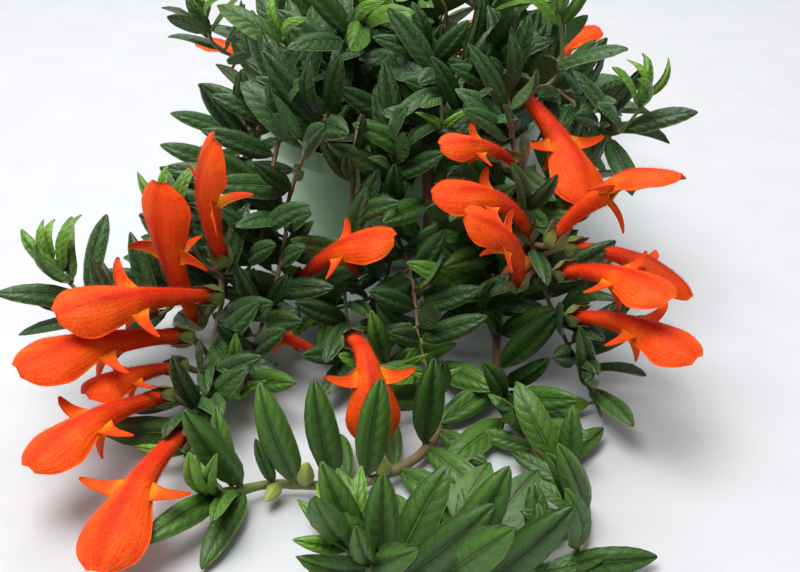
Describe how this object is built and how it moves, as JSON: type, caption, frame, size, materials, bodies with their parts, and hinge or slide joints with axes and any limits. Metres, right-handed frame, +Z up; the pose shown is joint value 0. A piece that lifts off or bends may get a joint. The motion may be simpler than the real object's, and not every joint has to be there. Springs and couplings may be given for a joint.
{
  "type": "potted goldfish plant",
  "caption": "Trailing goldfish plant with dark lance-shaped leaves and orange hooded tubular flowers in a shallow pale green plastic pot.",
  "frame": {"origin": "centre of the pot's flat base, on the surface that it stands on", "axes": "+Z up; -Y towards the front, where the long stems trail; +X to the right seen from the front"},
  "size_m": [0.2722, 0.4203, 0.1444],
  "materials": {
    "pot_plastic": "satin",
    "soil": "matte",
    "leaves_and_stems": "satin",
    "petals": "satin",
    "dry_twig": "matte"
  },
  "bodies": {
    "root": {"pot": "pot_plastic", "soil": "soil", "dry_twig": "dry_twig", "shoot_front_table": "leaves_and_stems", "shoot_front_trail": "leaves_and_stems", "shoot_right_droop": "leaves_and_stems", "shoot_centre_droop": "leaves_and_stems", "shoot_left_droop": "leaves_and_stems", "shoot_left_flowering": "leaves_and_stems", "shoot_left_low": "leaves_and_stems", "shoot_far_left": "leaves_and_stems", "shoot_shade": "leaves_and_stems", "shoot_low_centre": "leaves_and_stems", "shoot_up_centre": "leaves_and_stems", "shoot_top_left": "leaves_and_stems", "shoot_upper_left": "leaves_and_stems", "shoot_top_middle": "leaves_and_stems", "shoot_woody_right": "leaves_and_stems", "shoot_far_right": "leaves_and_stems", "shoot_right_side": "leaves_and_stems", "shoot_top_right": "leaves_and_stems", "shoot_front_crown": "leaves_and_stems", "shoot_back": "leaves_and_stems", "shoot_back_left": "leaves_and_stems", "shoot_back_right": "leaves_and_stems", "shoot_left_back": "leaves_and_stems", "shoot_right_back": "leaves_and_stems", "shoot_top_back_left": "leaves_and_stems", "shoot_top_back_right": "leaves_and_stems", "bloom_left_upright": "petals", "bloom_left_behind_tip": "petals", "bloom_left_wide": "petals", "bloom_left_second": "petals", "bloom_left_third": "petals", "bloom_left_fourth": "petals", "bloom_left_front": "petals", "bloom_centre_side": "petals", "bloom_low_behind": "petals", "bloom_centre_facing": "petals", "bloom_right_inner": "petals", "bloom_right_turned": "petals", "bloom_right_large": "petals", "bloom_right_open": "petals", "bloom_right_low": "petals", "bloom_right_lowest": "petals", "bloom_right_behind": "petals", "bloom_right_shaded": "petals", "bloom_back": "petals", "bloom_back_left": "petals", "bloom_back_right": "petals"}
  },
  "joints": []
}
